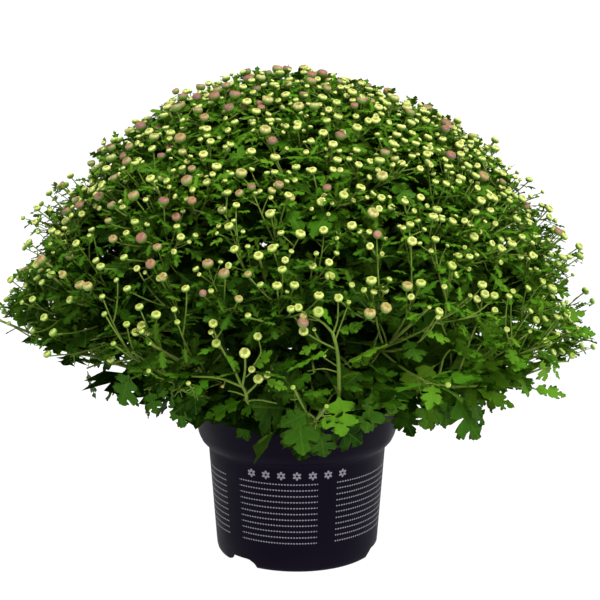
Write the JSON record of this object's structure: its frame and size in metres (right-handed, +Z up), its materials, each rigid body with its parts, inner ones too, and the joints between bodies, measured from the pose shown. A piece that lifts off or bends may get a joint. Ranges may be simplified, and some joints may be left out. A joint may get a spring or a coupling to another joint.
{
  "type": "potted chrysanthemum",
  "caption": "Dome-shaped pot chrysanthemum in tight bud, with lobed leaves, standing in a dark moulded nursery pot.",
  "frame": {"origin": "centre of the pot's foot, on the surface that it stands on", "axes": "+Z up along the pot's axis; -Y towards the viewer; +X to the viewer's right"},
  "size_m": [0.5275, 0.5204, 0.4371],
  "materials": {
    "pot": "satin moulded polypropylene, near-black aubergine",
    "soil": "rough moist peat",
    "stem": "green, slightly woody stem",
    "foliage": "satin leaves and green buds"
  },
  "bodies": {
    "root": {"pot": "pot", "soil": "soil", "branching_stem": "stem", "spray_01": "foliage", "spray_02": "foliage", "spray_03": "foliage", "spray_04": "foliage", "spray_05": "foliage", "spray_06": "foliage", "spray_07": "foliage", "spray_08": "foliage", "spray_09": "foliage", "spray_10": "foliage", "spray_11": "foliage", "spray_12": "foliage", "spray_13": "foliage", "spray_14": "foliage", "spray_15": "foliage", "spray_16": "foliage", "spray_17": "foliage", "spray_18": "foliage", "spray_19": "foliage", "spray_20": "foliage", "spray_21": "foliage", "spray_22": "foliage", "spray_23": "foliage", "spray_24": "foliage", "spray_25": "foliage", "spray_26": "foliage", "spray_27": "foliage", "spray_28": "foliage"}
  },
  "joints": []
}
